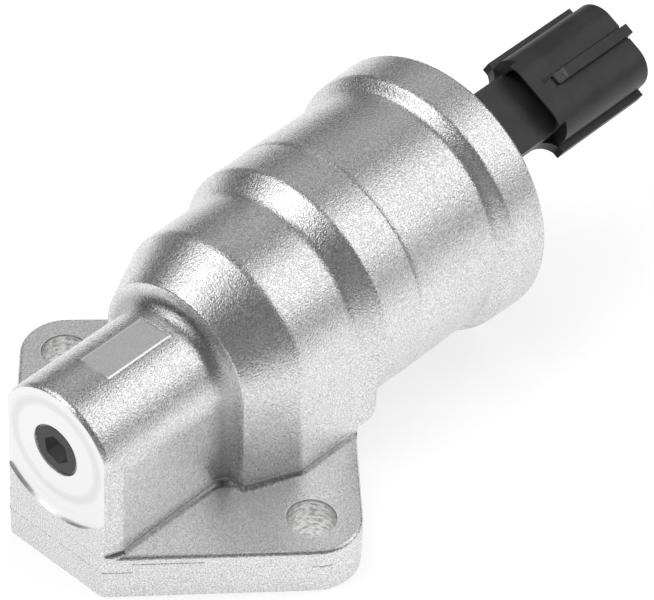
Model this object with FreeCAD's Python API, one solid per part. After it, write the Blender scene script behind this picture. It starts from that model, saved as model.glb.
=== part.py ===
import FreeCAD, Part
import math
import os

os.makedirs("parts", exist_ok=True)
V = FreeCAD.Vector

# Frame: millimetres, +Z up. The origin lies on the mounting face, midway between the two bolt holes.
# X runs along the valve axis from the nose (-X) to the connector (+X), Y through both bolt holes.

# Flange
HOLE_SPACING = 48.0
HOLE_R = 3.5
EAR_R = 7.0
EAR_TIP_X = 0.5
EAR_TIP_Y = 33.6
FLANGE_T = 7.5
FLANGE_NOSE_HALF = 8.9
FLANGE_REAR_X = 21.2
FLANGE_REAR_HALF = 13.1
FLANGE_EDGE_R = 0.7
FOOT_R = 0.9

# Valve axis and the outside of the casting, as stations along X
AXIS_Z = 21.8
NOSE_X = -25.6
NOSE_HALF = 10.05
NOSE_EDGE_R = 1.2
NOSE_CORNER_X = -22.6
NOSE_CORNER_R = 0.6
COLLAR_X = -2.35
COLLAR_R = 13.05
ROOT_R = 2.6
DOME_X = 5.45
DOME_EDGE_R = 2.5
BODY_R = 16.9
CONE_X = 16.2
CAN_X = 20.0
CAN_R = 19.3
CAN_WALL = 1.9
STEP_X = 27.4
STEP_DEPTH = 0.15
STEP_RUN = 0.5
STEP_R = 2.8
FLARE_X = 43.95
RIM_X = 45.8
RIM_R = 21.25
RIM_FLARE = 0.3
RIM_END_X = 52.7
RIM_EDGE_R = 0.6
DRAFT = 0.75
OVERHANG_HALF = 18.9
OVERHANG_Z = 8.0
OVERHANG_R = 3.6

# Machined face on the nose and the flat pad on top of it
SPOT_R = 12.2
SPOT_DEPTH = 0.35
PAD_X0 = -17.8
PAD_X1 = -6.0
PAD_HALF_W = 2.75
PAD_DROP = 0.25
PAD_SKIRT = 0.5
PAD_TILT_DEG = 1.8

# Parting line of the die: a thin flash that jogs up behind the nose corners
FLASH_OUT = 0.06
FLASH_T = 0.25
FLASH_LOW_Z = 4.45
FLASH_HIGH_Z = 6.0
FLASH_JOG_X = -22.6
FLASH_END_X = -15.5
FLASH_TIP_X0 = -4.8
FLASH_TIP_X1 = -2.6

# Air ports and their seal grooves
PORT_R = 6.5
FRONT_PORT_X = -10.0
REAR_PORT_X = 9.5
FRONT_PORT_TOP = 15.8
REAR_PORT_TOP = 13.0
GROOVE_IN_R = 7.5
GROOVE_OUT_R = 9.3
GROOVE_DEPTH = 1.7

# Stepped bore, from the nose to the open end of the can
SCREW_R = 4.0
THREAD_GAP = 0.05
PRESS_GAP = 0.02
RUN_GAP = 0.03
SEAT_GAP = 0.3
BUSH_X0 = -13.5
BUSH_X1 = -8.5
BUSH_R = 3.5
INLET_R = 7.6
SEAT_X0 = 1.0
SEAT_BORE_R = 9.5
OUTLET_X0 = 6.0
OUTLET_R = CAN_R - CAN_WALL - 3.9
CAN_BORE_X = 22.5
CAN_BORE_R = CAN_R - CAN_WALL
LIP_X = 51.6
LIP_R = CAN_BORE_R - 1.6

# Adjusting screw and trim spring
SCREW_X0 = -25.15
SCREW_X1 = -15.6
HEX_AF = 4.0
HEX_DEPTH = 2.8
SCREW_POCKET_X = -21.0
SCREW_POCKET_R = 2.1
TRIM_COIL_R = 1.5
TRIM_WIRE_R = 0.22

# Moving group
TRAVEL = 3.0
STEM_R = 2.0
STEM_X0 = -15.0
STEM_X1 = 47.9
CLIP_GROOVE_R = 1.6
CLIP_R = 3.3
CLIP_T = 0.6
HEAD_HUB_R = 3.6
HEAD_R = 8.0
HEAD_X0 = 6.45
HEAD_T = 1.75
HUB_X0 = 5.7
HUB_X1 = 12.0
SEAL_IN_R = 5.6
SEAL_OUT_R = 7.8
LIP_TIP_X = 5.5
CLOSED_GAP = 0.05
ARM_R = 6.0
ARM_X0 = 27.5
ARM_X1 = 40.0
ARM_POCKET_R = 4.4
ARM_POCKET_DEPTH = 3.0

# Seat ring
THROAT_R = 6.0
SEAT_FACE_X = 4.9

# Solenoid stack
PLATE_T = 2.5
HUB_R = 6.0
HUB_X = 16.0
YOKE_WALL = 1.2
YOKE_IN_R = CAN_BORE_R - SEAT_GAP - YOKE_WALL
YOKE_X1 = 47.0
BOBBIN_R = YOKE_IN_R - 0.4
BOBBIN_TUBE_IN = 6.9
BOBBIN_TUBE_OUT = 7.9
BOBBIN_FLANGE_T = 1.2
COIL_R = BOBBIN_R - 0.6
GUIDE_IN_R = 6.2
GUIDE_OUT_R = 6.6
GUIDE_X1 = 42.6
CORE_R = 6.6
CORE_X0 = 43.2
CORE_POCKET_X = 46.5
CORE_PLATE_T = 2.5
REAR_BUSH_R = 3.2
RETURN_COIL_R = 3.5
RETURN_WIRE_R = 0.35
RING_IN_R = CAN_BORE_R - 3.0
RING_W = 1.4
RING_T = 0.95
RING_ROOM = 0.2
RING_GROOVE = 1.0

# Connector: the arm and hood stand at a clock angle about the valve axis
CLOCK_DEG = 28.4
CAP_X1 = 53.2
CAP_RAISED_R = LIP_R - 0.3
CAP_RECESS_R = 3.4
CAP_RECESS_X = 51.4
ARM_HALF_W = 5.65
ARM_N0 = 11.3
ARM_N1 = 14.3
HOOD_X0 = 66.0
ROOF_X0 = 64.5
HOOD_X1 = 85.5
HOOD_HALF_W = 7.5
HOOD_N0 = 4.6
HOOD_N1 = 17.2
HOOD_CORNER_R = 4.2
HOOD_WALL = 1.2
POCKET_X = 71.5
MOUTH_EDGE = 0.35
MOUTH_BEVEL = 1.6
MOUTH_R = 1.2
CHEEK_T = 0.35
CAVITY_X = 74.0
RAIL_HALF_W = 8.6
RAIL_N0 = 9.7
RAIL_T = 1.9
RAIL_X1 = 85.3
WEB_LENGTH = 2.8
RIB_HALF_W = 0.85
RIB_H = 0.9
RIB_X0 = 69.2
RIB_X1 = 86.0
RIB_RAMP = 1.1
RECESS_LENGTH = 2.4
RECESS_DEPTH = 0.5
GROOVE_W = 0.3
GROOVE_T = 0.2
CONNECTOR_SIDE = -0.2
TERM_PITCH = 5.2
TERM_W = 1.6
TERM_T = 0.8
TERM_N = (ARM_N0 + ARM_N1) / 2.0
TERM_X1 = 80.8


def corner_arc(a, b, c, radius):
    """End points and middle point of the arc that rounds corner b."""
    u = (a - b).normalize()
    w = (c - b).normalize()
    angle = u.getAngle(w)
    reach = radius / math.tan(angle / 2.0)
    bisector = (u + w).normalize()
    centre = b + bisector * (radius / math.sin(angle / 2.0))
    middle = centre - bisector * radius
    return b + u * reach, middle, b + w * reach


def rounded_wire(points, bevel=False):
    """Closed wire through (vector, corner radius) pairs; a bevel cuts the corners straight."""
    edges = []
    starts = []
    count = len(points)
    for i in range(count):
        here, radius = points[i]
        if radius > 0:
            before = points[i - 1][0]
            after = points[(i + 1) % count][0]
            starts.append(corner_arc(before, here, after, radius))
        else:
            starts.append((here, None, here))
    for i in range(count):
        first, middle, last = starts[i]
        if middle is not None and bevel:
            edges.append(Part.makeLine(first, last))
        elif middle is not None:
            edges.append(Part.Arc(first, middle, last).toShape())
        nxt = starts[(i + 1) % count][0]
        if (nxt - last).Length > 1e-6:
            edges.append(Part.makeLine(last, nxt))
    return Part.Wire(edges)


def turned(points, bevel=False):
    """Solid of revolution about the valve axis from (x, r) or (x, r, corner radius) points."""
    placed = [(V(p[0], 0, AXIS_Z + p[1]), p[2] if len(p) > 2 else 0.0) for p in points]
    face = Part.Face(rounded_wire(placed, bevel))
    return face.revolve(V(0, 0, AXIS_Z), V(1, 0, 0), 360)


def rod(x0, x1, radius):
    """Cylinder along the valve axis."""
    return Part.makeCylinder(radius, x1 - x0, V(x0, 0, AXIS_Z), V(1, 0, 0))


def tube(x0, x1, inner, outer):
    """Ring along the valve axis."""
    return rod(x0, x1, outer).cut(rod(x0 - 1, x1 + 1, inner))


def plan_prism(points, z0, z1):
    """Upright prism from (x, y, corner radius) points."""
    placed = [(V(p[0], p[1], z0), p[2]) for p in points]
    return Part.Face(rounded_wire(placed)).extrude(V(0, 0, z1 - z0))


def mirrored(points):
    """Plan points of the -Y side, completed by their mirror image."""
    other = [(x, -y, r) for x, y, r in reversed(points)]
    return points + other


def flange_plan():
    """Two-bolt plate: round ears, straight edges to the nose and to the rear."""
    return mirrored([
        (NOSE_X, -FLANGE_NOSE_HALF, 0.8),
        (EAR_TIP_X, -EAR_TIP_Y, EAR_R),
        (FLANGE_REAR_X, -FLANGE_REAR_HALF, 0.0),
    ])


def flange():
    """The plate with a small round on its upper edge."""
    plate = plan_prism(flange_plan(), 0.0, FLANGE_T)
    rim = [e for e in plate.Edges if e.BoundBox.ZMin > FLANGE_T - 0.01]
    return plate.makeFillet(FLANGE_EDGE_R, rim)


def body_round():
    """The turned shape of the casting: arch, collar, dome, cone, can and rim."""
    return turned([
        (NOSE_X, 0.0),
        (NOSE_X, NOSE_HALF, NOSE_EDGE_R),
        (COLLAR_X - 0.45, NOSE_HALF, ROOT_R),
        (COLLAR_X, COLLAR_R, 0.4),
        (DOME_X, BODY_R - 0.15, DOME_EDGE_R),
        (CONE_X, BODY_R, 2.5),
        (CAN_X, CAN_R - STEP_DEPTH, 1.3),
        (STEP_X, CAN_R - STEP_DEPTH),
        (STEP_X + STEP_RUN, CAN_R, STEP_R),
        (FLARE_X, CAN_R, 2.0),
        (RIM_X, RIM_R - RIM_FLARE, 1.5),
        (RIM_END_X, RIM_R, RIM_EDGE_R),
        (RIM_END_X, 0.0),
    ])


def wall_plan(z, grow):
    """Plan outline of the drafted walls at height z, moved outward by grow."""
    spread = DRAFT * (1.0 - z / AXIS_Z) + grow
    side = [
        (NOSE_X, -(FLANGE_NOSE_HALF + 0.5 * grow), NOSE_CORNER_R),
        (NOSE_CORNER_X, -(NOSE_HALF + grow), NOSE_CORNER_R),
        (COLLAR_X - 0.45 - grow, -(NOSE_HALF + grow), ROOT_R),
        (COLLAR_X - grow, -(COLLAR_R + spread), 0.4 + grow),
        (DOME_X, -(BODY_R - 0.15 + spread), DOME_EDGE_R),
        (CONE_X, -(BODY_R + spread), 2.5),
        (CAN_X, -(CAN_R - 0.1), 0.0),
        (FLANGE_REAR_X, -(CAN_R - 0.1), 0.0),
    ]
    return rounded_wire([(V(x, y, z), r) for x, y, r in mirrored(side)])


def overhang_form():
    """Rounded form of the walls where they stand out over the flange."""
    low = V(-60.0, -OVERHANG_HALF, OVERHANG_Z)
    form = Part.makeBox(60.0 + FLANGE_REAR_X, 2 * OVERHANG_HALF, 60.0, low)
    edges = []
    for edge in form.Edges:
        box = edge.BoundBox
        if box.XMax > FLANGE_REAR_X - 0.1 and box.XMin > 0 and box.ZMin < 60:
            edges.append(edge)
        elif box.ZMax < OVERHANG_Z + 0.1 and box.XMax > 0:
            edges.append(edge)
    return form.makeFillet(OVERHANG_R, edges)


def walls():
    """Drafted walls from the valve axis down, with a hollow round where they meet the flange."""
    sections = [wall_plan(FLANGE_T - FLANGE_EDGE_R, FOOT_R)]
    for degrees in (0, 30, 60, 90):
        angle = math.radians(degrees)
        grow = FOOT_R * (1.0 - math.sin(angle))
        rise = FOOT_R * (1.0 - math.cos(angle))
        sections.append(wall_plan(FLANGE_T + rise, grow))
    sections.append(wall_plan(AXIS_Z, 0.0))
    block = Part.makeLoft(sections, True, True)
    keep = plan_prism(flange_plan(), 0.0, AXIS_Z + 1.0).fuse(overhang_form())
    return block.common(keep)


def mounting_holes():
    """The two bolt holes."""
    half = HOLE_SPACING / 2.0
    return [Part.makeCylinder(HOLE_R, FLANGE_T + 8, V(0, s * half, -1)) for s in (-1, 1)]


def stepped_bore():
    """Everything turned out of the casting from both ends."""
    return turned([
        (NOSE_X - 1, 0.0),
        (NOSE_X - 1, SCREW_R + THREAD_GAP),
        (BUSH_X0, SCREW_R + THREAD_GAP),
        (BUSH_X0, BUSH_R + PRESS_GAP),
        (BUSH_X1, BUSH_R + PRESS_GAP),
        (BUSH_X1, INLET_R),
        (SEAT_X0, INLET_R),
        (SEAT_X0, SEAT_BORE_R),
        (OUTLET_X0, SEAT_BORE_R),
        (OUTLET_X0, OUTLET_R),
        (CAN_BORE_X, OUTLET_R),
        (CAN_BORE_X, CAN_BORE_R),
        (LIP_X, CAN_BORE_R),
        (LIP_X, LIP_R),
        (RIM_END_X + 1, LIP_R),
        (RIM_END_X + 1, 0.0),
    ])


def ports():
    """Two upright air ports and the seal grooves round their mouths."""
    cuts = []
    for x, top in ((FRONT_PORT_X, FRONT_PORT_TOP), (REAR_PORT_X, REAR_PORT_TOP)):
        cuts.append(Part.makeCylinder(PORT_R, top + 1, V(x, 0, -1)))
        outer = Part.makeCylinder(GROOVE_OUT_R, GROOVE_DEPTH + 1, V(x, 0, -1))
        inner = Part.makeCylinder(GROOVE_IN_R, GROOVE_DEPTH + 3, V(x, 0, -2))
        cuts.append(outer.cut(inner))
    return cuts


def nose_corner(side):
    """Wedge that takes the front corner off the arch, in line with the walls' corner below."""
    run = NOSE_CORNER_X - NOSE_X
    out = NOSE_HALF - FLANGE_NOSE_HALF
    points = [
        V(NOSE_X - run, side * (FLANGE_NOSE_HALF - out), AXIS_Z / 2.0),
        V(NOSE_X + 2 * run, side * (FLANGE_NOSE_HALF + 2 * out), AXIS_Z / 2.0),
        V(NOSE_X - run, side * (FLANGE_NOSE_HALF + 3 * out), AXIS_Z / 2.0),
    ]
    return Part.Face(Part.makePolygon(points + [points[0]])).extrude(V(0, 0, AXIS_Z))


def nose_trim():
    """Machined circle on the nose face, the level cut over the pad and the arch's front corners."""
    spot = rod(NOSE_X - SPOT_R, NOSE_X + SPOT_DEPTH, SPOT_R)
    low = AXIS_Z + NOSE_HALF - PAD_DROP
    level = Part.makeBox(PAD_X1 - PAD_X0, 2 * PAD_HALF_W, NOSE_HALF, V(PAD_X0, -PAD_HALF_W, low))
    level.rotate(V(0, 0, AXIS_Z), V(1, 0, 0), -PAD_TILT_DEG)
    return [nose_corner(-1), nose_corner(1), spot, level]


def pad_rise():
    """The pad along the top of the arch, with sloping sides, standing a little proud at its edges."""
    top = AXIS_Z + NOSE_HALF - PAD_DROP
    corners = []
    for out, z in ((PAD_HALF_W + PAD_SKIRT, top - PAD_SKIRT), (PAD_HALF_W, top)):
        corners += [V(PAD_X0, -out, z), V(PAD_X0, out, z)]
    a, b, c, d = corners
    rise = Part.Face(Part.makePolygon([a, b, d, c, a])).extrude(V(PAD_X1 - PAD_X0, 0, 0))
    rise.rotate(V(0, 0, AXIS_Z), V(1, 0, 0), -PAD_TILT_DEG)
    return rise


def flash_band(x0, x1, z0, z1):
    """A stretch of the flash round the outline of the plate, between two stations and two heights."""
    outline = Part.Face(rounded_wire([(V(x, y, z0), r) for x, y, r in flange_plan()]))
    band = outline.makeOffset2D(FLASH_OUT).extrude(V(0, 0, z1 - z0))
    return band.common(Part.makeBox(x1 - x0, 200.0, 20.0, V(x0, -100.0, z0 - 5.0)))


def flash():
    """The flash of the parting line: low across the nose, high along the sides, low again at the ears."""
    low = flash_band(NOSE_X - 1.0, FLASH_JOG_X, FLASH_LOW_Z, FLASH_LOW_Z + FLASH_T)
    jog = flash_band(FLASH_JOG_X, FLASH_JOG_X + FLASH_T, FLASH_LOW_Z, FLASH_HIGH_Z + FLASH_T)
    high = flash_band(FLASH_JOG_X, FLASH_END_X, FLASH_HIGH_Z, FLASH_HIGH_Z + FLASH_T)
    tips = flash_band(FLASH_TIP_X0, FLASH_TIP_X1, FLASH_LOW_Z, FLASH_LOW_Z + FLASH_T)
    return [low, jog, high, tips]


def housing():
    """The casting."""
    shape = body_round().fuse([walls(), flange(), pad_rise()] + flash()).removeSplitter()
    cuts = mounting_holes() + ports() + nose_trim() + [stepped_bore()]
    for piece in cuts:
        shape = shape.cut(piece)
    return shape


def coil_spring(x0, x1, coil_r, wire_r, turns):
    """Spring of eight-sided wire along the valve axis with its ends at x0 and x1."""
    length = x1 - x0 - 2 * wire_r
    helix = Part.makeHelix(length / turns, length, coil_r)
    corners = []
    for i in range(9):
        angle = math.radians(45 * i + 22.5)
        corners.append(V(coil_r + wire_r * math.cos(angle), 0, wire_r * math.sin(angle)))
    spring = Part.Wire(helix.Edges).makePipeShell([Part.makePolygon(corners)], True, True)
    spring.rotate(V(0, 0, 0), V(0, 1, 0), 90)
    spring.translate(V(x0 + wire_r, 0, AXIS_Z))
    return spring


def hexagon(x0, x1, across_flats):
    """Hexagonal prism along the valve axis."""
    radius = across_flats / math.sqrt(3.0)
    points = []
    for i in range(7):
        angle = math.radians(60 * i + 20)
        points.append(V(x0, radius * math.cos(angle), AXIS_Z + radius * math.sin(angle)))
    return Part.Face(Part.makePolygon(points)).extrude(V(x1 - x0, 0, 0))


def adjusting_screw():
    """Hollow set screw with a hex socket."""
    body = turned([(SCREW_X0, 0.0), (SCREW_X0, SCREW_R, 0.35), (SCREW_X1, SCREW_R, 0.5), (SCREW_X1, 0.0)], True)
    body = body.cut(hexagon(SCREW_X0 - 1, SCREW_X0 + HEX_DEPTH, HEX_AF))
    return body.cut(rod(SCREW_POCKET_X, SCREW_X1 + 1, SCREW_POCKET_R))


def trim_spring():
    """Small spring between the screw's pocket and the front of the stem."""
    return coil_spring(SCREW_POCKET_X, STEM_X0, TRIM_COIL_R, TRIM_WIRE_R, 5)


def bush(x0, x1, outer):
    """Plain bearing for the stem."""
    return tube(x0, x1, STEM_R + RUN_GAP, outer)


def valve_stem():
    """Ground rod with two ring grooves."""
    stem = turned([(STEM_X0, 0.0), (STEM_X0, STEM_R, 0.3), (STEM_X1, STEM_R, 0.3), (STEM_X1, 0.0)], True)
    for x in (HUB_X0 - CLIP_T, HUB_X1):
        stem = stem.cut(tube(x, x + CLIP_T, CLIP_GROOVE_R, STEM_R + 1))
    return stem


def stem_clips():
    """Two open retaining rings, one on each side of the valve head."""
    rings = []
    for x in (HUB_X0 - CLIP_T, HUB_X1):
        ring = tube(x, x + CLIP_T, CLIP_GROOVE_R + PRESS_GAP, CLIP_R)
        gap = Part.makeBox(CLIP_T + 2, 2.2, CLIP_R + 1, V(x - 1, -1.1, AXIS_Z))
        rings.append(ring.cut(gap))
    return Part.makeCompound(rings)


def valve_head():
    """Metering disc with its hub."""
    body = turned([
        (HUB_X0, STEM_R + PRESS_GAP),
        (HUB_X0, HEAD_HUB_R),
        (HEAD_X0, HEAD_HUB_R),
        (HEAD_X0, HEAD_R),
        (HEAD_X0 + HEAD_T, HEAD_R, 0.5),
        (HEAD_X0 + HEAD_T, HEAD_HUB_R + 0.6, 0.5),
        (HUB_X1, HEAD_HUB_R),
        (HUB_X1, STEM_R + PRESS_GAP),
    ], True)
    return body


def valve_seat():
    """Pressed-in ring with a raised seat edge."""
    return turned([
        (SEAT_X0, THROAT_R),
        (SEAT_X0, SEAT_BORE_R - PRESS_GAP),
        (SEAT_FACE_X, SEAT_BORE_R - PRESS_GAP),
        (SEAT_FACE_X, 7.2),
        (LIP_TIP_X, 6.9),
        (LIP_TIP_X, 6.3),
        (SEAT_FACE_X, THROAT_R),
    ])


def armature():
    """Steel plunger with a spring pocket in its rear face."""
    body = turned([
        (ARM_X0, STEM_R + PRESS_GAP),
        (ARM_X0, ARM_R, 0.4),
        (ARM_X1, ARM_R, 0.4),
        (ARM_X1, ARM_POCKET_R),
        (ARM_X1 - ARM_POCKET_DEPTH, ARM_POCKET_R),
        (ARM_X1 - ARM_POCKET_DEPTH, STEM_R + PRESS_GAP),
    ], True)
    return body


def front_plate():
    """Plate on the shoulder of the can with the hub of the middle bush."""
    face_x = CAN_BORE_X
    body = turned([
        (HUB_X, BUSH_R + PRESS_GAP),
        (HUB_X, HUB_R, 0.5),
        (face_x, HUB_R),
        (face_x, CAN_BORE_R - SEAT_GAP),
        (face_x + PLATE_T, CAN_BORE_R - SEAT_GAP),
        (face_x + PLATE_T, STEM_R + 0.6),
        (face_x - 0.6, STEM_R + 0.6),
        (face_x - 0.6, BUSH_R + PRESS_GAP),
    ], True)
    groove = tube(face_x - 0.5, face_x + RING_GROOVE, RING_IN_R, RING_IN_R + RING_W + RING_ROOM)
    return body.cut(groove)


def seal_ring(x0):
    """Rubber ring in the middle of a face groove that starts at x0."""
    inner = RING_IN_R + RING_ROOM / 2.0
    return tube(x0, x0 + RING_T, inner, inner + RING_W)


def bobbin():
    """Plastic spool with two flanges."""
    x0 = CAN_BORE_X + PLATE_T
    return turned([
        (x0, BOBBIN_TUBE_IN),
        (x0, BOBBIN_R),
        (x0 + BOBBIN_FLANGE_T, BOBBIN_R),
        (x0 + BOBBIN_FLANGE_T, BOBBIN_TUBE_OUT),
        (YOKE_X1 - BOBBIN_FLANGE_T, BOBBIN_TUBE_OUT),
        (YOKE_X1 - BOBBIN_FLANGE_T, BOBBIN_R),
        (YOKE_X1, BOBBIN_R),
        (YOKE_X1, BOBBIN_TUBE_IN),
    ])


def coil():
    """Copper winding between the spool's flanges."""
    x0 = CAN_BORE_X + PLATE_T + BOBBIN_FLANGE_T
    return tube(x0, YOKE_X1 - BOBBIN_FLANGE_T, BOBBIN_TUBE_OUT, COIL_R)


def rear_core():
    """Fixed core with its end plate; two slots let the terminals through."""
    x1 = YOKE_X1 + CORE_PLATE_T
    body = turned([
        (CORE_X0, ARM_POCKET_R),
        (CORE_X0, CORE_R, 0.4),
        (YOKE_X1, CORE_R),
        (YOKE_X1, CAN_BORE_R - SEAT_GAP),
        (x1, CAN_BORE_R - SEAT_GAP),
        (x1, REAR_BUSH_R + PRESS_GAP),
        (CORE_POCKET_X, REAR_BUSH_R + PRESS_GAP),
        (CORE_POCKET_X, ARM_POCKET_R),
    ], True)
    half_w = TERM_PITCH / 2.0 + TERM_W
    half_n = 1.5 * TERM_T
    slot = clocked_box(YOKE_X1 - 1, x1 + 1, -half_w, half_w, TERM_N - half_n, TERM_N + half_n)
    return body.cut(slot)


def clocked(shape):
    """Turn a shape drawn with its top toward +Z to the connector's clock angle."""
    shape.rotate(V(0, 0, AXIS_Z), V(1, 0, 0), CLOCK_DEG)
    return shape


def upright_box(x0, x1, w0, w1, n0, n1):
    """Box in connector directions before clocking: x, side w, height n above the valve axis."""
    return Part.makeBox(x1 - x0, w1 - w0, n1 - n0, V(x0, w0, AXIS_Z + n0))


def clocked_box(x0, x1, w0, w1, n0, n1):
    """Box in connector directions, turned to the clock angle."""
    return clocked(upright_box(x0, x1, w0, w1, n0, n1))


def oval_bar(x0, x1, inset):
    """Bar with the hood's rounded section, made smaller by an inset."""
    radius = HOOD_CORNER_R - inset
    half = HOOD_HALF_W - inset
    low = HOOD_N0 + inset
    high = HOOD_N1 - inset
    corners = [(-half, low), (half, low), (half, high), (-half, high)]
    wire = rounded_wire([(V(x0, w, AXIS_Z + n), radius) for w, n in corners])
    return Part.Face(wire).extrude(V(x1 - x0, 0, 0))


def gusset(side):
    """Flat web between the arm and a rail's rear end."""
    z = AXIS_Z + RAIL_N0
    rear = V(HOOD_X0 - WEB_LENGTH, side * (ARM_HALF_W - 0.15), z)
    middle = V(HOOD_X0 - 0.3 * WEB_LENGTH, side * (ARM_HALF_W + 0.7), z)
    front = V(HOOD_X0, side * (HOOD_HALF_W + 0.1), z)
    inner = V(HOOD_X0 + 1.0, side * (ARM_HALF_W - 0.15), z)
    outer = V(HOOD_X0 + 1.0, side * (HOOD_HALF_W - 0.1), z)
    edges = [Part.Arc(rear, middle, front).toShape(), Part.makeLine(front, outer)]
    edges += [Part.makeLine(outer, inner), Part.makeLine(inner, rear)]
    return Part.Face(Part.Wire(edges)).extrude(V(0, 0, ARM_N0 + 0.2 - RAIL_N0))


def mouth_wire(x, inset):
    """Outline of the hood's mouth over the arm: square on the arm, round under the roof."""
    half = ARM_HALF_W - CHEEK_T
    corners = [(-half, ARM_N1, 0.0), (half, ARM_N1, 0.0)]
    corners += [(half, HOOD_N1 - inset, MOUTH_R), (-half, HOOD_N1 - inset, MOUTH_R)]
    return rounded_wire([(V(x, w, AXIS_Z + n), radius) for w, n, radius in corners])


def hood_rear():
    """Rear end of the hood: closed shoulders beside the arm and a thin-edged mouth above it."""
    shoulder_w = ARM_HALF_W - CHEEK_T
    shape = oval_bar(ROOF_X0, POCKET_X, 0.0)
    shape = shape.common(upright_box(ROOF_X0, POCKET_X, -ARM_HALF_W, ARM_HALF_W, ARM_N1, 30))
    full = oval_bar(HOOD_X0, POCKET_X, 0.0)
    shape = shape.fuse(full.common(upright_box(HOOD_X0, POCKET_X, -20, 20, ARM_N1, 30)))
    shape = shape.fuse(full.common(upright_box(HOOD_X0, POCKET_X, shoulder_w, 20, RAIL_N0, 30)))
    shape = shape.fuse(full.common(upright_box(HOOD_X0, POCKET_X, -20, -shoulder_w, RAIL_N0, 30)))
    bevel_x = ROOF_X0 + MOUTH_BEVEL
    lead_in = Part.makeLoft([mouth_wire(ROOF_X0, MOUTH_EDGE), mouth_wire(bevel_x, HOOD_WALL)], True, True)
    room = Part.Face(mouth_wire(bevel_x, HOOD_WALL)).extrude(V(POCKET_X - bevel_x, 0, 0))
    return shape.cut(lead_in).cut(room)


def key_rib():
    """Ramped rib on the hood's roof."""
    low = HOOD_N1 - 0.6
    high = HOOD_N1 + RIB_H
    side = [(RIB_X0, low), (RIB_X0, HOOD_N1), (RIB_X0 + RIB_RAMP, high), (RIB_X1, high), (RIB_X1, low)]
    points = [V(x, -RIB_HALF_W, AXIS_Z + n) for x, n in side]
    return Part.Face(Part.makePolygon(points + [points[0]])).extrude(V(0, 2 * RIB_HALF_W, 0))


def roof_cuts():
    """The recess in front of the rib and the two shallow grooves along it."""
    recess_x = RIB_X0 - RECESS_LENGTH
    edge = RIB_HALF_W + GROOVE_W
    cuts = [upright_box(recess_x, RIB_X0, -RIB_HALF_W, RIB_HALF_W, HOOD_N1 - RECESS_DEPTH, 30)]
    for w0, w1 in ((-edge, -RIB_HALF_W), (RIB_HALF_W, edge)):
        cuts.append(upright_box(recess_x, HOOD_X1 + 1, w0, w1, HOOD_N1 - GROOVE_T, 30))
    return cuts


def connector():
    """Arm, hood, rails and key rib, drawn upright."""
    arm = upright_box(CAP_X1 - 1, POCKET_X + 1, -ARM_HALF_W, ARM_HALF_W, ARM_N0, ARM_N1)
    front = oval_bar(POCKET_X, HOOD_X1, 0.0).cut(oval_bar(CAVITY_X, HOOD_X1 + 1, HOOD_WALL))
    pieces = [hood_rear(), front, key_rib()]
    for side in (-1, 1):
        inner = side * (HOOD_HALF_W - 0.6)
        outer = side * RAIL_HALF_W
        w0 = min(inner, outer)
        w1 = max(inner, outer)
        pieces.append(upright_box(HOOD_X0, RAIL_X1, w0, w1, RAIL_N0, RAIL_N0 + RAIL_T))
        pieces.append(gusset(side))
    body = arm.fuse(pieces).removeSplitter()
    for cut in roof_cuts():
        body = body.cut(cut)
    body.translate(V(0, CONNECTOR_SIDE, 0))
    return body


def terminal(side, gap):
    """Flat strip from the spool through the arm to the blade; a gap makes its channel."""
    half = TERM_T / 2.0 + gap
    low = (HOOD_N0 + HOOD_N1) / 2.0
    x0 = YOKE_X1
    path = [(x0, TERM_N), (POCKET_X + 0.5, TERM_N), (CAVITY_X - 0.8, low), (TERM_X1, low)]
    upper = [(x, n + half) for x, n in path]
    lower = [(x, n - half) for x, n in reversed(path)]
    w = CONNECTOR_SIDE + side * TERM_PITCH / 2.0 - TERM_W / 2.0 - gap
    points = [V(x, w, AXIS_Z + n) for x, n in upper + lower]
    face = Part.Face(Part.makePolygon(points + [points[0]]))
    return clocked(face.extrude(V(0, TERM_W + 2 * gap, 0)))


def end_cap():
    """Black moulding that closes the can and carries the connector."""
    x0 = YOKE_X1 + CORE_PLATE_T
    disc = turned([
        (x0, 0.0),
        (x0, CAN_BORE_R - SEAT_GAP),
        (LIP_X, CAN_BORE_R - SEAT_GAP),
        (LIP_X, CAP_RAISED_R),
        (CAP_X1, CAP_RAISED_R, 0.5),
        (CAP_X1, 0.0),
    ])
    disc = disc.cut(rod(x0 - 1, CAP_RECESS_X, CAP_RECESS_R))
    disc = disc.cut(tube(x0 - 1, x0 + RING_GROOVE, RING_IN_R, RING_IN_R + RING_W + RING_ROOM))
    cap = disc.fuse(clocked(connector())).removeSplitter()
    for side in (-1, 1):
        cap = cap.cut(terminal(side, PRESS_GAP))
    return cap


def port_seals():
    """Two rubber rings, flush with the mounting face."""
    rings = []
    for x in (FRONT_PORT_X, REAR_PORT_X):
        outer = Part.makeCylinder(GROOVE_OUT_R - 0.1, GROOVE_DEPTH - 0.1, V(x, 0, 0.1))
        inner = Part.makeCylinder(GROOVE_IN_R + 0.1, GROOVE_DEPTH + 2, V(x, 0, -1))
        rings.append(outer.cut(inner))
    return Part.makeCompound(rings)


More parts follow.
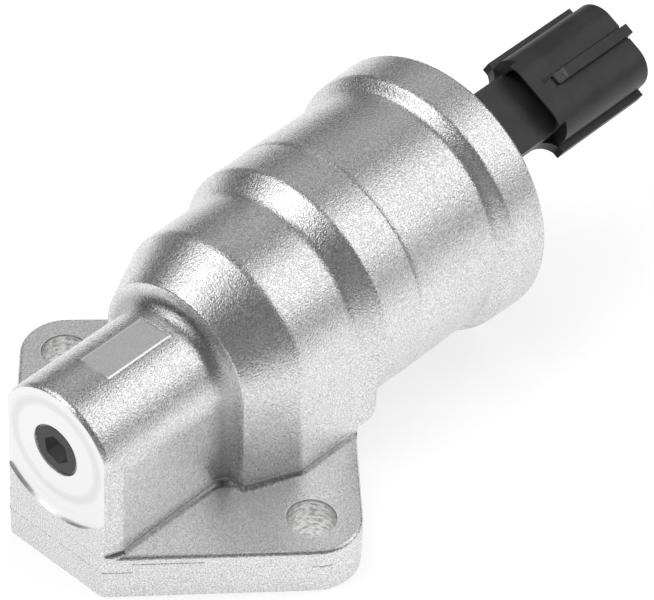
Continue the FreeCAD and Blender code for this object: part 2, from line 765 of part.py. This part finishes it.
def all_parts():
    """Node name and shape of every piece."""
    x_plate = CAN_BORE_X + PLATE_T
    return {
        "housing": housing(),
        "adjusting_screw": adjusting_screw(),
        "trim_spring": trim_spring(),
        "front_bush": bush(BUSH_X0, BUSH_X1, BUSH_R),
        "valve_stem": valve_stem(),
        "stem_clips": stem_clips(),
        "valve_head": valve_head(),
        "valve_seal": tube(LIP_TIP_X + CLOSED_GAP, HEAD_X0, SEAL_IN_R, SEAL_OUT_R),
        "valve_seat": valve_seat(),
        "front_plate": front_plate(),
        "middle_bush": bush(HUB_X + 0.4, CAN_BORE_X - 0.6, BUSH_R),
        "plate_seal": seal_ring(CAN_BORE_X),
        "guide_tube": tube(x_plate, GUIDE_X1, GUIDE_IN_R, GUIDE_OUT_R),
        "armature": armature(),
        "return_spring": coil_spring(ARM_X1 - ARM_POCKET_DEPTH, CORE_POCKET_X, RETURN_COIL_R, RETURN_WIRE_R, 5),
        "bobbin": bobbin(),
        "coil": coil(),
        "yoke": tube(x_plate, YOKE_X1, YOKE_IN_R, CAN_BORE_R - SEAT_GAP),
        "rear_core": rear_core(),
        "rear_bush": bush(CORE_POCKET_X, YOKE_X1 + CORE_PLATE_T, REAR_BUSH_R),
        "cap_seal": seal_ring(YOKE_X1 + CORE_PLATE_T),
        "end_cap": end_cap(),
        "left_terminal": terminal(-1, 0.0),
        "right_terminal": terminal(1, 0.0),
        "port_seals": port_seals(),
    }


for name, shape in all_parts().items():
    shape.exportStep("parts/" + name + ".step")
    print(name, shape.isValid(), len(shape.Solids), round(shape.Volume, 1))
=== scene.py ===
"""Looks for the idle air control valve: cast body, nose screw, plug connector and the pieces inside."""

import math
from types import SimpleNamespace

import bpy
from mathutils import Matrix, Quaternion, Vector


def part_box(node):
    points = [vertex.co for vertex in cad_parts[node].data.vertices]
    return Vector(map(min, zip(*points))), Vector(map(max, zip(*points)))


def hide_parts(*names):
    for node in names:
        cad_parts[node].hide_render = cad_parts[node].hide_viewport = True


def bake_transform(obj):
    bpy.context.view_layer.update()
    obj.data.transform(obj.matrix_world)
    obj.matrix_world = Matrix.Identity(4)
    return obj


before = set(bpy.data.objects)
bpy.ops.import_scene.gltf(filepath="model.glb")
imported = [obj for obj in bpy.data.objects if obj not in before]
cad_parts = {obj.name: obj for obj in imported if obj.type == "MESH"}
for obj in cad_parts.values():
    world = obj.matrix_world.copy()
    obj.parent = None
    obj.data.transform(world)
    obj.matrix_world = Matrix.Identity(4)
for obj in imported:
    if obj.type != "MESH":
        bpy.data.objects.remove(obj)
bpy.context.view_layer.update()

MM = 0.001

# Places on the valve that the finishes and the painted shade start and end at
AXIS_Z = 21.8 * MM
SPOT_FLOOR_X = -25.25 * MM
SPOT_R = 12.2 * MM
SCREW_FACE_X = -25.2 * MM
NOSE_R = 10.05 * MM
ROOT_X = -2.6 * MM
ROOT_REACH = 4.0 * MM
FLANGE_TOP_Z = 7.5 * MM
FLANGE_REAR_X = 21.2 * MM
FOOT_TOP_Z = 8.4 * MM
HOLE_Y = 24.0 * MM
HOLE_R = 3.5 * MM
HOOD_TILT = math.radians(28.4)
RIB_START_X = 69.9 * MM
RIB_TOP = 17.7 * MM

# The flat pad on top of the nose, with a painted highlight and a painted shade line along one of its edges
PAD_X0 = -18.2 * MM
PAD_X1 = -6.4 * MM
PAD_HALF_W = 3.3 * MM
PAD_LINE_Y = 2.62 * MM

# Grain of the shot-blasted casting: sizes, and depths of the bumps
BLAST_GRAIN = 0.215 * MM
COARSE_GRAIN = 0.75 * MM
PIT_SIZE = 0.55 * MM
CLOUD_SIZE = 9.0 * MM
BLAST_DEPTH = 0.07 * MM
BLAST_STRENGTH = 0.86
COARSE_DEPTH = 0.06 * MM
PIT_DEPTH = 0.04 * MM
SOFT_STRENGTH = 0.2

# Marks of the tools on the machined face and in the drilled bolt holes
TURNING_BAND = 0.7 * MM
TURNING_PITCH = 0.32 * MM
TURNING_DEPTH = 0.004 * MM
DRILL_MARK = 0.8 * MM
DRILL_PITCH = 1.0 * MM
DRILL_DEPTH = 0.2 * MM
DRILL_STRENGTH = 0.8

# Texture sizes and depths of the other materials
ERODED_GRAIN = 0.16 * MM
ERODED_DEPTH = 0.03 * MM
FLOW_SIZE = 4.0 * MM
FLOW_DEPTH = 0.05 * MM
SCUFF_REACH = 1.3 * MM
SCUFF_LEVEL = 0.11
METAL_GRAIN = 0.2 * MM
METAL_DEPTH = 0.01 * MM
RUBBER_GRAIN = 0.2 * MM
RUBBER_DEPTH = 0.02 * MM
BLOOM_SIZE = 1.5 * MM
LACQUER_SIZE = 2.0 * MM
WINDING_PITCH = 0.35 * MM
WINDING_DEPTH = 0.08 * MM

# The two coil springs, drawn as round wire
RETURN_WIRE_R = 0.35 * MM
TRIM_WIRE_R = 0.22 * MM
SPRING_TURNS = 5
STEPS_PER_TURN = 36
WIRE_SIDES = 14
SMOOTH_ANGLE = math.radians(50)

# Camera: angles in degrees, place in metres, lens in millimetres on a 36 mm sensor
CAMERA_AZIMUTH = -140.526
CAMERA_ELEVATION = 41.8
CAMERA_ROLL = 3.4
CAMERA_PLACE = (-0.22712, -0.21145, 0.31097)
CAMERA_LENS = 169.18
SENSOR_WIDTH = 36.0

# Light levels: white is 1
FLOOR_DROP = 0.05 * MM
FLOOR_SIZE = 6.0
FLOOR_GREY = 0.45
FLOOR_GLOW = 0.68
ROOM_LEVEL = 0.05

# Soft boxes, aimed at the middle of the valve: name, place, width, height, power in watts, roll in degrees
LIGHT_AIM = (0.03, 0, 0.02)
SOFT_BOXES = (
    ("soft_box_behind_right", (0.487, -0.409, 0.626), 0.80, 0.56, 1.95, 51),
    ("soft_box_high_left", (-0.334, 0.318, 0.784), 0.86, 0.56, 2.94, 0),
    ("dim_panel_behind_left", (0.553, 0.440, 0.645), 0.70, 0.46, 0.40, 0),
    ("dim_panel_low_right", (0.550, -0.720, 0.150), 0.60, 0.24, 0.18, 0),
    ("dim_panel_before_nose", (-0.49, -0.67, 0.33), 1.0, 0.55, 0.26, 0),
)
EVEN_LIGHT = ("even_light_from_above", (0.0, 0.0, 0.9), 0.9, 0.9, 4.3, 0)


def grey(level, blue=0.0):
    """A grey colour with a little more or less blue."""
    return (level, level, level + blue, 1)


def tinted(level, tint):
    """A tint at one level of brightness."""
    return tuple(level * share for share in tint) + (1,)


def new_material(name):
    """An empty node material with its output and one principled shader."""
    made = bpy.data.materials.new(name)
    made.use_nodes = True
    tree = made.node_tree
    tree.nodes.clear()
    out = tree.nodes.new("ShaderNodeOutputMaterial")
    shader = tree.nodes.new("ShaderNodeBsdfPrincipled")
    tree.links.new(shader.outputs["BSDF"], out.inputs["Surface"])
    return made, tree, shader


def object_place(tree, scale=(1, 1, 1)):
    """Object coordinates through a mapping, for a pattern at a real size."""
    place = tree.nodes.new("ShaderNodeTexCoord")
    mapping = tree.nodes.new("ShaderNodeMapping")
    mapping.inputs["Scale"].default_value = scale
    tree.links.new(place.outputs["Object"], mapping.inputs["Vector"])
    return mapping.outputs["Vector"]


def axes(tree, place):
    """The three coordinates of a place."""
    made = tree.nodes.new("ShaderNodeSeparateXYZ")
    tree.links.new(place, made.inputs["Vector"])
    return made.outputs["X"], made.outputs["Y"], made.outputs["Z"]


def noise(tree, place, size, detail=2.0, rough=0.5):
    """Noise whose grains are about one size across, in metres."""
    made = tree.nodes.new("ShaderNodeTexNoise")
    made.inputs["Scale"].default_value = 1.0 / size
    made.inputs["Detail"].default_value = detail
    made.inputs["Roughness"].default_value = rough
    tree.links.new(place, made.inputs["Vector"])
    return made.outputs["Fac"]


def bands(tree, along, size, detail=2.0):
    """Uneven bands along one coordinate, each about one size wide, in metres."""
    made = tree.nodes.new("ShaderNodeTexNoise")
    made.noise_dimensions = "1D"
    made.inputs["Scale"].default_value = 1.0 / size
    made.inputs["Detail"].default_value = detail
    tree.links.new(along, made.inputs["W"])
    return made.outputs["Fac"]


def cells(tree, place, size):
    """Distance to the middle of small cells, for pits and blast marks."""
    made = tree.nodes.new("ShaderNodeTexVoronoi")
    made.feature = "F1"
    made.inputs["Scale"].default_value = 1.0 / size
    tree.links.new(place, made.inputs["Vector"])
    return made.outputs["Distance"]


def ramp(tree, fac, *stops):
    """A colour ramp with stops given as place and grey level, or as place and colour."""
    made = tree.nodes.new("ShaderNodeValToRGB")
    row = made.color_ramp.elements
    while len(row) < len(stops):
        row.new(0.5)
    for element, (place, level) in zip(row, stops):
        element.position = place
        element.color = level if isinstance(level, tuple) else grey(level)
    tree.links.new(fac, made.inputs["Fac"])
    return made.outputs["Color"]


def maths(tree, kind, first, second=None):
    """One arithmetic node on sockets or plain numbers."""
    made = tree.nodes.new("ShaderNodeMath")
    made.operation = kind
    for slot, value in enumerate((first, second)):
        if value is None:
            continue
        if isinstance(value, (int, float)):
            made.inputs[slot].default_value = value
        else:
            tree.links.new(value, made.inputs[slot])
    return made.outputs["Value"]


def product(tree, first, *others):
    """Product of sockets or plain numbers."""
    for other in others:
        first = maths(tree, "MULTIPLY", first, other)
    return first


def hypotenuse(tree, first, second):
    """Length of the long side over two square sides."""
    squares = maths(tree, "ADD", product(tree, first, first), product(tree, second, second))
    return maths(tree, "SQRT", squares)


def ripples(tree, along, pitch):
    """Even ripples along one coordinate."""
    return maths(tree, "SINE", product(tree, along, 2 * math.pi / pitch))


def mixed(tree, fac, first, second):
    """A colour mix of two sockets or plain colours."""
    made = tree.nodes.new("ShaderNodeMix")
    made.data_type = "RGBA"
    tree.links.new(fac, made.inputs["Factor"])
    for slot, value in ((6, first), (7, second)):
        if isinstance(value, tuple):
            made.inputs[slot].default_value = value
        else:
            tree.links.new(value, made.inputs[slot])
    return made.outputs[2]


def bump(tree, shader, *layers):
    """Stacked bumps, each given as height socket, depth in metres and strength."""
    before = None
    for height, depth, strength in layers:
        made = tree.nodes.new("ShaderNodeBump")
        made.inputs["Distance"].default_value = depth
        made.inputs["Strength"].default_value = strength
        tree.links.new(height, made.inputs["Height"])
        if before is not None:
            tree.links.new(before, made.inputs["Normal"])
        before = made.outputs["Normal"]
    tree.links.new(before, shader.inputs["Normal"])


def casting_zones(tree, place):
    """Where the machined face, the bolt holes and the pad lie on the casting."""
    x, y, z = axes(tree, place)
    up = maths(tree, "SUBTRACT", z, AXIS_Z)
    radius = hypotenuse(tree, y, up)
    in_front = maths(tree, "LESS_THAN", x, SPOT_FLOOR_X + 0.05 * MM)
    in_spot = maths(tree, "LESS_THAN", radius, SPOT_R + 0.02 * MM)
    machined = product(tree, in_front, in_spot)
    hole_dy = maths(tree, "SUBTRACT", maths(tree, "ABSOLUTE", y), HOLE_Y)
    hole_r = hypotenuse(tree, x, hole_dy)
    in_hole = maths(tree, "LESS_THAN", hole_r, HOLE_R + 0.05 * MM)
    over_nose = maths(tree, "GREATER_THAN", z, AXIS_Z + 0.9 * NOSE_R)
    past_start = maths(tree, "GREATER_THAN", x, PAD_X0)
    before_end = maths(tree, "LESS_THAN", x, PAD_X1)
    pad_length = product(tree, past_start, before_end, over_nose)
    in_width = maths(tree, "LESS_THAN", maths(tree, "ABSOLUTE", y), PAD_HALF_W)
    pad = product(tree, pad_length, in_width)
    cut = maths(tree, "MAXIMUM", machined, in_hole)
    blasted = maths(tree, "SUBTRACT", 1.0, cut)
    blasted = maths(tree, "SUBTRACT", blasted, product(tree, pad, 0.6))
    return SimpleNamespace(
        x=x,
        y=y,
        z=z,
        up=up,
        radius=radius,
        hole_r=hole_r,
        machined=machined,
        in_hole=in_hole,
        pad_length=pad_length,
        pad=pad,
        blasted=blasted,
        height=maths(tree, "DIVIDE", z, FOOT_TOP_Z),
    )


def blasted_skin(tree, zone, fine, clouds):
    """Speckled grey of the blasted surface, greyer on the pad, with a painted highlight and a painted shade
    line along one edge of the pad.
    """
    tone = ramp(tree, clouds, (0.3, grey(0.82, 0.005)), (0.7, grey(0.92, 0.005)))
    speck = ramp(tree, fine, (0.36, grey(0.34, 0.005)), (0.60, grey(1.0)))
    skin = mixed(tree, product(tree, zone.blasted, 0.52), tone, speck)
    skin = mixed(tree, product(tree, zone.pad, 0.3), skin, grey(0.8, 0.005))
    across = maths(tree, "DIVIDE", zone.y, 2 * PAD_LINE_Y)
    # painted highlight: a thin white line along one edge of the pad
    painted_edge_highlight = ramp(tree, across, (0.47, 0.0), (0.49, 1.0), (0.51, 1.0), (0.53, 0.0))
    skin = mixed(tree, product(tree, painted_edge_highlight, zone.pad_length), skin, grey(1.0))
    # painted shade: a dark line just outside that edge of the pad
    painted_edge_shade = ramp(tree, across, (0.53, 0.0), (0.55, 1.0), (0.57, 1.0), (0.60, 0.0))
    return mixed(tree, product(tree, painted_edge_shade, zone.pad_length), skin, grey(0.45))


def shaded_corners(tree, zone, skin):
    """Painted shade: a darker colour in the crease along the foot and in the corner behind the nose, fading
    towards the flange's rear.
    """
    crease = ramp(tree, zone.height, (0.894, 1.0), (0.91, 0.0), (0.96, 0.2), (1.0, 1.0))
    crease = maths(tree, "MAXIMUM", crease, maths(tree, "LESS_THAN", zone.x, SPOT_FLOOR_X))
    rear = ramp(tree, maths(tree, "DIVIDE", zone.x, FLANGE_REAR_X), (0.55, 0.0), (0.95, 0.7))
    crease = maths(tree, "MAXIMUM", crease, rear)
    # painted shade in the crease along the foot
    skin = mixed(tree, crease, grey(0.34), skin)
    above = maths(tree, "MAXIMUM", zone.up, 0.0)
    out = maths(tree, "SUBTRACT", hypotenuse(tree, zone.y, above), NOSE_R)
    along = maths(tree, "SUBTRACT", zone.x, ROOT_X)
    from_root = maths(tree, "DIVIDE", hypotenuse(tree, out, along), ROOT_REACH)
    # painted shade in the corner behind the nose
    return mixed(tree, ramp(tree, from_root, (0.3, 0.35), (0.65, 1.0)), grey(0.30), skin)


def drill_marks(tree, z):
    """Torn rings that a drill leaves on the wall of a hole."""
    torn = noise(tree, object_place(tree, (1.0, 1.0, 2.4)), DRILL_MARK, 3.0, 0.6)
    return maths(tree, "ADD", torn, product(tree, ripples(tree, z, DRILL_PITCH), 0.05))


def drilled_holes(tree, zone, skin, marks):
    """Adds the torn wall of the bolt holes, with a painted highlight round the lip and painted shade on the
    wall just under the lip.
    """
    wall = ramp(tree, marks, (0.38, grey(0.48, -0.005)), (0.54, grey(0.94, -0.01)))
    depth = maths(tree, "DIVIDE", zone.z, FLANGE_TOP_Z)
    # painted shade: the top of the hole wall, just under the lip, is darkened
    wall = mixed(tree, ramp(tree, depth, (0.93, 1.0), (0.97, 0.2), (1.0, 0.2)), grey(0.30), wall)
    # painted highlight: a bright thin ring round the lip of the hole
    painted_lip_highlight = ramp(tree, maths(tree, "DIVIDE", zone.hole_r, 2 * HOLE_R), (0.520, 1.0), (0.535, 0.0))
    skin = mixed(tree, painted_lip_highlight, skin, grey(0.97))
    return mixed(tree, zone.in_hole, skin, wall)


def machined_face(tree, radius):
    """Bright turned face with one greyer ring."""
    turning = bands(tree, radius, TURNING_BAND)
    face = ramp(tree, turning, (0.3, grey(0.965, 0.005)), (0.6, grey(0.985, 0.005)))
    share = maths(tree, "DIVIDE", radius, SPOT_R)
    ring = ramp(tree, share, (0.555, 1.0), (0.595, 0.62), (0.64, 0.45), (0.685, 0.62), (0.71, 1.0))
    return mixed(tree, ring, grey(0.74, 0.005), face)


def cast_aluminium():
    """Shot-blasted die casting, with the machined face on the nose and the drilled bolt holes."""
    made, tree, shader = new_material("cast_aluminium_shot_blasted")
    place = object_place(tree)
    zone = casting_zones(tree, place)
    fine = noise(tree, place, BLAST_GRAIN, 1.0, 0.5)
    coarse = noise(tree, place, COARSE_GRAIN, 2.0, 0.55)
    clouds = noise(tree, place, CLOUD_SIZE, 3.0, 0.5)
    pits = cells(tree, place, PIT_SIZE)
    marks = drill_marks(tree, zone.z)
    rings = ripples(tree, zone.radius, TURNING_PITCH)

    skin = blasted_skin(tree, zone, fine, clouds)
    skin = shaded_corners(tree, zone, skin)
    skin = drilled_holes(tree, zone, skin, marks)
    colour = mixed(tree, zone.machined, skin, machined_face(tree, zone.radius))
    tree.links.new(colour, shader.inputs["Base Color"])
    dull = ramp(tree, zone.height, (0.880, 0.84), (0.886, 0.52), (0.8935, 0.52), (0.897, 0.84))
    tree.links.new(dull, shader.inputs["Metallic"])
    rough = ramp(tree, coarse, (0.3, 0.21), (0.75, 0.32))
    tree.links.new(mixed(tree, zone.machined, rough, grey(0.30)), shader.inputs["Roughness"])
    bump(
        tree,
        shader,
        (product(tree, fine, zone.blasted), BLAST_DEPTH, BLAST_STRENGTH),
        (product(tree, coarse, zone.blasted), COARSE_DEPTH, SOFT_STRENGTH),
        (product(tree, pits, zone.blasted), PIT_DEPTH, SOFT_STRENGTH),
        (product(tree, rings, zone.machined), TURNING_DEPTH, SOFT_STRENGTH),
        (product(tree, marks, zone.in_hole), DRILL_DEPTH, DRILL_STRENGTH),
    )
    return made


def scuffed(tree, place, fine, colour, middle):
    """Adds a small rubbed patch, patchy as the fine texture, round one place."""
    centred = tree.nodes.new("ShaderNodeVectorMath")
    centred.operation = "DISTANCE"
    tree.links.new(place, centred.inputs[0])
    centred.inputs[1].default_value = middle
    share = maths(tree, "DIVIDE", centred.outputs["Value"], SCUFF_REACH)
    near = ramp(tree, share, (0.7, 1.0), (1.0, 0.0))
    worn = product(tree, near, ramp(tree, fine, (0.38, 0.0), (0.52, 1.0)))
    return mixed(tree, worn, colour, grey(SCUFF_LEVEL))


def moulded_plastic(name, level, rough_low, rough_high, tint=(1.0, 1.0, 1.0), scuff=None):
    """A moulded plastic with a faint eroded texture and, if asked, one scuffed patch."""
    made, tree, shader = new_material(name)
    place = object_place(tree)
    fine = noise(tree, place, ERODED_GRAIN, 2.0, 0.6)
    flow = noise(tree, place, FLOW_SIZE, 3.0, 0.5)
    colour = ramp(tree, flow, (0.35, tinted(level * 0.8, tint)), (0.7, tinted(level * 1.25, tint)))
    if scuff:
        colour = scuffed(tree, place, fine, colour, scuff)
    tree.links.new(colour, shader.inputs["Base Color"])
    tree.links.new(ramp(tree, fine, (0.3, rough_low), (0.7, rough_high)), shader.inputs["Roughness"])
    bump(tree, shader, (fine, ERODED_DEPTH, 0.5), (flow, FLOW_DEPTH, 0.25))
    return made


def metal(name, colour, rough_low, rough_high, ring_pitch=0.0, painted_light_past=None):
    """A turned, drawn or plated metal, with rings across the valve axis if asked, and painted light past one
    face: a lighter grey there.
    """
    made, tree, shader = new_material(name)
    place = object_place(tree)
    fine = noise(tree, place, METAL_GRAIN, 2.0, 0.6)
    tone = ramp(tree, fine, (0.3, tinted(0.85, colour)), (0.7, tinted(1.1, colour)))
    along = axes(tree, place)[0]
    if painted_light_past is not None:
        # painted light: a lighter grey past the given face, as if lit
        tone = mixed(tree, maths(tree, "GREATER_THAN", along, painted_light_past), tone, grey(0.5))
    tree.links.new(tone, shader.inputs["Base Color"])
    shader.inputs["Metallic"].default_value = 1.0
    tree.links.new(ramp(tree, fine, (0.3, rough_low), (0.7, rough_high)), shader.inputs["Roughness"])
    layers = [(fine, METAL_DEPTH, 0.4)]
    if ring_pitch:
        layers.append((ripples(tree, along, ring_pitch), METAL_DEPTH, 0.5))
    bump(tree, shader, *layers)
    return made


def rubber(name):
    """A black moulded rubber with a dull bloom."""
    made, tree, shader = new_material(name)
    place = object_place(tree)
    fine = noise(tree, place, RUBBER_GRAIN, 2.0, 0.6)
    bloom = noise(tree, place, BLOOM_SIZE, 3.0, 0.5)
    tree.links.new(ramp(tree, bloom, (0.35, 0.018), (0.7, 0.034)), shader.inputs["Base Color"])
    tree.links.new(ramp(tree, fine, (0.3, 0.55), (0.7, 0.72)), shader.inputs["Roughness"])
    bump(tree, shader, (fine, RUBBER_DEPTH, 0.4))
    return made


def winding(name):
    """Enamelled copper wire wound round the spool, in rings along the valve axis."""
    made, tree, shader = new_material(name)
    place = object_place(tree)
    lacquer = noise(tree, place, LACQUER_SIZE, 2.0, 0.5)
    tone = ramp(tree, lacquer, (0.3, (0.42, 0.16, 0.07, 1)), (0.7, (0.60, 0.25, 0.12, 1)))
    tree.links.new(tone, shader.inputs["Base Color"])
    shader.inputs["Metallic"].default_value = 0.9
    tree.links.new(ramp(tree, lacquer, (0.3, 0.28), (0.7, 0.40)), shader.inputs["Roughness"])
    turns = ripples(tree, axes(tree, place)[0], WINDING_PITCH)
    bump(tree, shader, (turns, WINDING_DEPTH, 0.8))
    return made


def finishes():
    """Each finish with the CAD nodes that have it."""
    rib_start = (RIB_START_X, -RIB_TOP * math.sin(HOOD_TILT), AXIS_Z + RIB_TOP * math.cos(HOOD_TILT))
    # painted light: inside the screw's hex socket, behind its face, the colour is a lighter grey, as if the
    # facets were lit
    socket_x = SCREW_FACE_X + 0.1 * MM
    return (
        (cast_aluminium(), ["housing"]),
        (moulded_plastic("black_moulded_plastic", 0.029, 0.36, 0.52, scuff=rib_start), ["end_cap"]),
        (moulded_plastic("natural_moulded_plastic", 0.62, 0.4, 0.55, (1.0, 0.93, 0.80)), ["bobbin"]),
        (metal("blackened_steel", (0.075, 0.075, 0.08), 0.34, 0.48, painted_light_past=socket_x), ["adjusting_screw"]),
        (
            metal("drawn_spring_wire", (0.48, 0.48, 0.49), 0.28, 0.4),
            ["trim_spring", "return_spring", "stem_clips"],
        ),
        (metal("sintered_bronze", (0.58, 0.40, 0.20), 0.42, 0.6), ["front_bush", "middle_bush", "rear_bush"]),
        (metal("turned_brass", (0.72, 0.55, 0.28), 0.25, 0.36, 0.3 * MM), ["valve_seat", "guide_tube"]),
        (
            metal("zinc_plated_steel", (0.64, 0.64, 0.62), 0.28, 0.42, 0.4 * MM),
            ["front_plate", "yoke", "rear_core", "armature"],
        ),
        (metal("tinned_brass_strip", (0.80, 0.80, 0.79), 0.22, 0.34), ["left_terminal", "right_terminal"]),
        (metal("ground_steel", (0.66, 0.66, 0.67), 0.16, 0.26, 0.15 * MM), ["valve_stem"]),
        (metal("turned_aluminium", (0.80, 0.80, 0.81), 0.24, 0.34, 0.25 * MM), ["valve_head"]),
        (winding("enamelled_copper_winding"), ["coil"]),
        (rubber("black_rubber"), ["plate_seal", "cap_seal", "port_seals", "valve_seal"]),
    )


def dress_all():
    """Gives every CAD node its finish."""
    for material, nodes in finishes():
        for node in nodes:
            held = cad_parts[node].data.materials
            held.clear()
            held.append(material)


def coil_spring(node, wire_r):
    """A round-wire spring in its node's place, with the node's finish, and the node itself hidden."""
    low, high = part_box(node)
    outer = (high[2] - low[2]) / 2
    bpy.ops.object.select_all(action="DESELECT")
    start = (low[0] + wire_r, 0, outer - wire_r)
    across = (math.pi / 2, 0, 0)
    bpy.ops.mesh.primitive_circle_add(vertices=WIRE_SIDES, radius=wire_r, location=start, rotation=across)
    piece = bpy.context.object
    piece.name = node + "_round_wire"
    bpy.ops.object.transform_apply()
    coils = piece.modifiers.new("coils", "SCREW")
    coils.axis = "X"
    coils.angle = SPRING_TURNS * 2 * math.pi
    coils.screw_offset = high[0] - low[0] - 2 * wire_r
    coils.steps = SPRING_TURNS * STEPS_PER_TURN
    coils.render_steps = SPRING_TURNS * STEPS_PER_TURN
    bpy.ops.object.modifier_apply(modifier=coils.name)
    bpy.ops.transform.translate(value=(0, 0, AXIS_Z))
    bpy.ops.object.transform_apply()
    bpy.ops.object.mode_set(mode="EDIT")
    bpy.ops.mesh.select_all(action="SELECT")
    bpy.ops.mesh.fill_holes(sides=WIRE_SIDES)
    bpy.ops.mesh.normals_make_consistent(inside=False)
    bpy.ops.object.mode_set(mode="OBJECT")
    bpy.ops.object.shade_smooth_by_angle(angle=SMOOTH_ANGLE)
    piece.data.materials.append(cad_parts[node].data.materials[0])
    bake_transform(piece)
    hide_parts(node)
    return piece


def camera():
    """The photograph's view: high over the nose end, a long lens, turned a little."""
    data = bpy.data.cameras.new("camera")
    data.sensor_width = SENSOR_WIDTH
    data.lens = CAMERA_LENS
    data.clip_start = 0.01
    data.clip_end = 20.0
    made = bpy.data.objects.new("camera", data)
    bpy.context.scene.collection.objects.link(made)
    azimuth = math.radians(CAMERA_AZIMUTH)
    elevation = math.radians(CAMERA_ELEVATION)
    level = math.cos(elevation)
    back = Vector((level * math.cos(azimuth), level * math.sin(azimuth), math.sin(elevation)))
    turn = back.to_track_quat("Z", "Y") @ Quaternion((0, 0, 1), math.radians(CAMERA_ROLL))
    made.matrix_world = Matrix.Translation(Vector(CAMERA_PLACE)) @ turn.to_matrix().to_4x4()
    bpy.context.scene.camera = made


def soft_box(name, place, width, height, power, roll):
    """A rectangular lamp at a place, aimed at the valve and rolled about its own axis."""
    data = bpy.data.lights.new(name, "AREA")
    data.shape = "RECTANGLE"
    data.size = width
    data.size_y = height
    data.energy = power
    made = bpy.data.objects.new(name, data)
    bpy.context.scene.collection.objects.link(made)
    made.location = Vector(place)
    aim = (Vector(LIGHT_AIM) - Vector(place)).to_track_quat("-Z", "Y")
    made.rotation_euler = (aim @ Quaternion((0, 0, 1), math.radians(roll))).to_euler()
    return made


def floor():
    """White floor just under the mounting face, which shows white and still takes the valve's shadow."""
    bpy.ops.object.select_all(action="DESELECT")
    bpy.ops.mesh.primitive_plane_add(size=FLOOR_SIZE, location=(0, 0, -FLOOR_DROP))
    made = bpy.context.object
    made.name = "floor"
    material, tree, shader = new_material("white_studio_floor")
    shader.inputs["Base Color"].default_value = grey(FLOOR_GREY)
    shader.inputs["Roughness"].default_value = 0.9
    shader.inputs["Specular IOR Level"].default_value = 0.0
    glow = tree.nodes.new("ShaderNodeEmission")
    glow.inputs["Color"].default_value = grey(1)
    seen = tree.nodes.new("ShaderNodeLightPath")
    shown = maths(tree, "MAXIMUM", seen.outputs["Is Camera Ray"], seen.outputs["Is Glossy Ray"])
    shown = maths(tree, "MAXIMUM", shown, seen.outputs["Is Transmission Ray"])
    tree.links.new(product(tree, shown, FLOOR_GLOW), glow.inputs["Strength"])
    both = tree.nodes.new("ShaderNodeAddShader")
    tree.links.new(shader.outputs["BSDF"], both.inputs[0])
    tree.links.new(glow.outputs["Emission"], both.inputs[1])
    out = [node for node in tree.nodes if node.type == "OUTPUT_MATERIAL"][0]
    tree.links.new(both.outputs["Shader"], out.inputs["Surface"])
    made.data.materials.append(material)


def surroundings():
    """A dim even room."""
    world = bpy.data.worlds.new("dim_surroundings")
    bpy.context.scene.world = world
    world.use_nodes = True
    back = world.node_tree.nodes["Background"]
    back.inputs["Color"].default_value = grey(1)
    back.inputs["Strength"].default_value = ROOM_LEVEL


def studio():
    """White floor in a dim room, two large soft boxes, three dim panels and one even light from above."""
    floor()
    surroundings()
    for row in SOFT_BOXES:
        soft_box(*row)
    soft_box(*EVEN_LIGHT).visible_glossy = False


dress_all()
coil_spring("return_spring", RETURN_WIRE_R)
coil_spring("trim_spring", TRIM_WIRE_R)
camera()
studio()
bpy.context.scene.view_settings.view_transform = "Standard"
